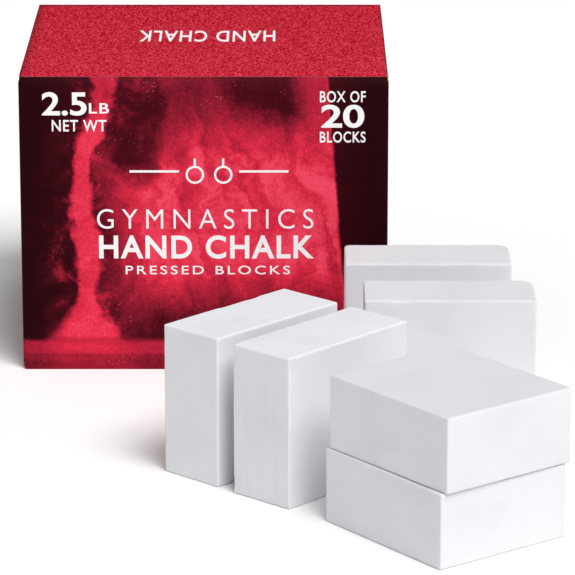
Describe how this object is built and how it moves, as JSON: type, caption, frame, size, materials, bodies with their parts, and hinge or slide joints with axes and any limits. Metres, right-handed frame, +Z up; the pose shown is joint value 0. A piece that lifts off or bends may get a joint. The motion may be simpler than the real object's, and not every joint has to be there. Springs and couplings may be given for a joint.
{
  "type": "pack of gymnastics chalk blocks",
  "caption": "Tuck-top carton of pressed magnesium carbonate chalk blocks for gymnastics, with some blocks packed inside and some standing and stacked in front.",
  "frame": {"origin": "centre of the carton's base, on the table", "axes": "+X to the right as seen from the front, +Y from the loose blocks to the carton's back, +Z up"},
  "size_m": [0.2413, 0.4324, 0.1415],
  "materials": {
    "chalk": "matte",
    "printed_board_dark": "satin",
    "printed_board_red": "satin",
    "bare_board": "matte"
  },
  "bodies": {
    "carton": {"front_panel": "printed_board_dark", "back_panel": "printed_board_dark", "left_side_panel": "printed_board_dark", "right_side_panel": "printed_board_dark", "glue_flap": "bare_board", "left_bottom_flap": "bare_board", "right_bottom_flap": "bare_board", "bottom_panel": "bare_board", "bottom_tuck_flap": "bare_board", "packed_block_01": "chalk", "packed_block_02": "chalk", "packed_block_03": "chalk", "packed_block_04": "chalk", "packed_block_05": "chalk", "packed_block_06": "chalk", "packed_block_07": "chalk", "packed_block_08": "chalk", "packed_block_09": "chalk", "packed_block_10": "chalk", "packed_block_11": "chalk", "packed_block_12": "chalk", "packed_block_13": "chalk", "packed_block_14": "chalk"},
    "lid": {"lid_panel": "printed_board_red"},
    "tuck": {"tuck_flap": "printed_board_red"},
    "left_dust": {"left_dust_flap": "printed_board_red"},
    "right_dust": {"right_dust_flap": "printed_board_red"},
    "standing_block_left": {"standing_block_left": "chalk"},
    "standing_block_right": {"standing_block_right": "chalk"},
    "stack_bottom_block": {"stack_bottom_block": "chalk"},
    "stack_top_block": {"stack_top_block": "chalk"},
    "face_block_near": {"face_block_near": "chalk"},
    "face_block_far": {"face_block_far": "chalk"}
  },
  "joints": [
    {"name": "lid_hinge", "type": "hinge", "parent": "carton", "child": "lid", "pos_m": [0, 0.08, 0.1415], "axis": [-1, 0, 0], "range_deg": [0, 200]},
    {"name": "tuck_fold", "type": "hinge", "parent": "lid", "child": "tuck", "pos_m": [0, -0.0783, 0.1415], "axis": [-1, 0, 0], "range_deg": [0, 80]},
    {"name": "left_dust_fold", "type": "hinge", "parent": "carton", "child": "left_dust", "pos_m": [-0.08575, 0, 0.14], "axis": [0, -1, 0], "range_deg": [0, 120]},
    {"name": "right_dust_fold", "type": "hinge", "parent": "carton", "child": "right_dust", "pos_m": [0.08575, 0, 0.14], "axis": [0, 1, 0], "range_deg": [0, 120]},
    {"name": "standing_block_left_lift", "type": "slide", "parent": "carton", "child": "standing_block_left", "axis": [0, 0, 1], "range_m": [0, 0.15]},
    {"name": "standing_block_right_lift", "type": "slide", "parent": "carton", "child": "standing_block_right", "axis": [0, 0, 1], "range_m": [0, 0.15]},
    {"name": "stack_bottom_block_lift", "type": "slide", "parent": "carton", "child": "stack_bottom_block", "axis": [0, 0, 1], "range_m": [0, 0.15]},
    {"name": "stack_top_block_lift", "type": "slide", "parent": "stack_bottom_block", "child": "stack_top_block", "axis": [0, 0, 1], "range_m": [0, 0.15]},
    {"name": "face_block_near_lift", "type": "slide", "parent": "carton", "child": "face_block_near", "axis": [0, 0, 1], "range_m": [0, 0.15]},
    {"name": "face_block_far_lift", "type": "slide", "parent": "carton", "child": "face_block_far", "axis": [0, 0, 1], "range_m": [0, 0.15]}
  ],
  "couplings": [
    {"joint": "tuck_fold", "follows": "lid_hinge", "ratio": 0.4},
    {"joint": "left_dust_fold", "follows": "lid_hinge", "ratio": 0.6},
    {"joint": "right_dust_fold", "follows": "lid_hinge", "ratio": 0.6}
  ]
}
